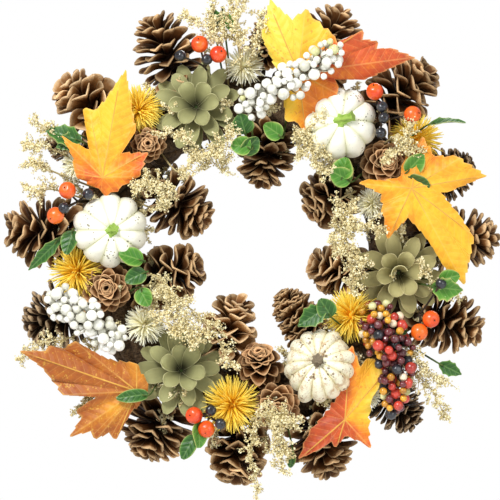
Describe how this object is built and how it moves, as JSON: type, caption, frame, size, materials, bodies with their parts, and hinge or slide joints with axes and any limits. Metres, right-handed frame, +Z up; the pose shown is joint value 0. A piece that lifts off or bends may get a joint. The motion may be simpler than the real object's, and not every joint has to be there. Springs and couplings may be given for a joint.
{
  "type": "harvest door wreath",
  "caption": "Round autumn door wreath of pine cones, mini pumpkins, wood flowers, maple leaves and berries on a vine ring, with a swinging wire hanging loop.",
  "frame": {"origin": "the hanging point: the top of the space inside the wire loop, where a hook or nail bears", "axes": "+Z up, -Y out of the wreath's front towards the viewer, +Y towards the door, +X to the viewer's right"},
  "size_m": [0.3629, 0.0837, 0.3507],
  "materials": {
    "vine": "dry twisted vine with its bark on, matte",
    "wire": "dark annealed florist's wire",
    "pine_cone": "dry brown scales with pale tips, matte",
    "teasel": "dark brown bristles, matte",
    "white_pumpkin": "creamy white painted foam with dark specks, satin",
    "mottled_pumpkin": "cream painted foam with brown mottling, satin",
    "sage_wood": "thin wood shavings dyed sage green, matte",
    "yellow_straw": "yellow dyed straw florets, matte",
    "pale_straw": "undyed straw florets, matte",
    "maple_leaf": "printed polyester leaf, yellow to orange and red, with embossed veins",
    "white_berry": "off-white painted foam berries on grey stems, satin",
    "mixed_berry": "red, burgundy, mustard, black and cream lacquered berries, gloss",
    "orange_berry": "orange lacquered berries with small blue-black ones on dark wire, gloss"
  },
  "bodies": {
    "wreath": {"vine_ring": "vine", "hanger_band": "wire", "outer_pine_cone_1": "pine_cone", "outer_pine_cone_2": "pine_cone", "outer_pine_cone_3": "pine_cone", "outer_pine_cone_4": "pine_cone", "outer_pine_cone_5": "pine_cone", "outer_pine_cone_6": "pine_cone", "outer_pine_cone_7": "pine_cone", "outer_pine_cone_8": "pine_cone", "outer_pine_cone_9": "pine_cone", "outer_pine_cone_10": "pine_cone", "outer_pine_cone_11": "pine_cone", "outer_pine_cone_12": "pine_cone", "outer_pine_cone_13": "pine_cone", "outer_pine_cone_14": "pine_cone", "inner_pine_cone_1": "pine_cone", "inner_pine_cone_2": "pine_cone", "inner_pine_cone_3": "pine_cone", "inner_pine_cone_4": "pine_cone", "inner_pine_cone_5": "pine_cone", "inner_pine_cone_6": "pine_cone", "inner_pine_cone_7": "pine_cone", "rosette_cone_1": "pine_cone", "rosette_cone_2": "pine_cone", "rosette_cone_3": "pine_cone", "rosette_cone_4": "pine_cone", "rosette_cone_5": "pine_cone", "teasel_head": "teasel", "white_pumpkin_left": "white_pumpkin", "white_pumpkin_right": "white_pumpkin", "mottled_pumpkin": "mottled_pumpkin", "wood_flower_top": "sage_wood", "wood_flower_right": "sage_wood", "wood_flower_bottom": "sage_wood", "yellow_thistle_1": "yellow_straw", "yellow_thistle_2": "yellow_straw", "yellow_thistle_3": "yellow_straw", "yellow_thistle_4": "yellow_straw", "yellow_thistle_5": "yellow_straw", "straw_thistle_1": "pale_straw", "straw_thistle_2": "pale_straw", "straw_thistle_3": "pale_straw", "straw_thistle_4": "pale_straw", "straw_thistle_5": "pale_straw", "maple_leaf_left": "maple_leaf", "maple_leaf_top": "maple_leaf", "maple_leaf_right": "maple_leaf", "maple_leaf_lower_left": "maple_leaf", "maple_leaf_lower_right": "maple_leaf", "white_berry_spray_top": "white_berry", "white_berry_spray_left": "white_berry", "mixed_berry_spray": "mixed_berry", "berry_pick_1": "orange_berry", "berry_pick_2": "orange_berry", "berry_pick_3": "orange_berry", "berry_pick_4": "orange_berry", "berry_pick_5": "orange_berry"},
    "loop": {"hanging_loop": "wire"}
  },
  "joints": [
    {"name": "hanging_loop_swing", "type": "hinge", "parent": "wreath", "child": "loop", "pos_m": [0, 0, -0.017], "axis": [1, 0, 0], "range_deg": [-110, 12]}
  ]
}
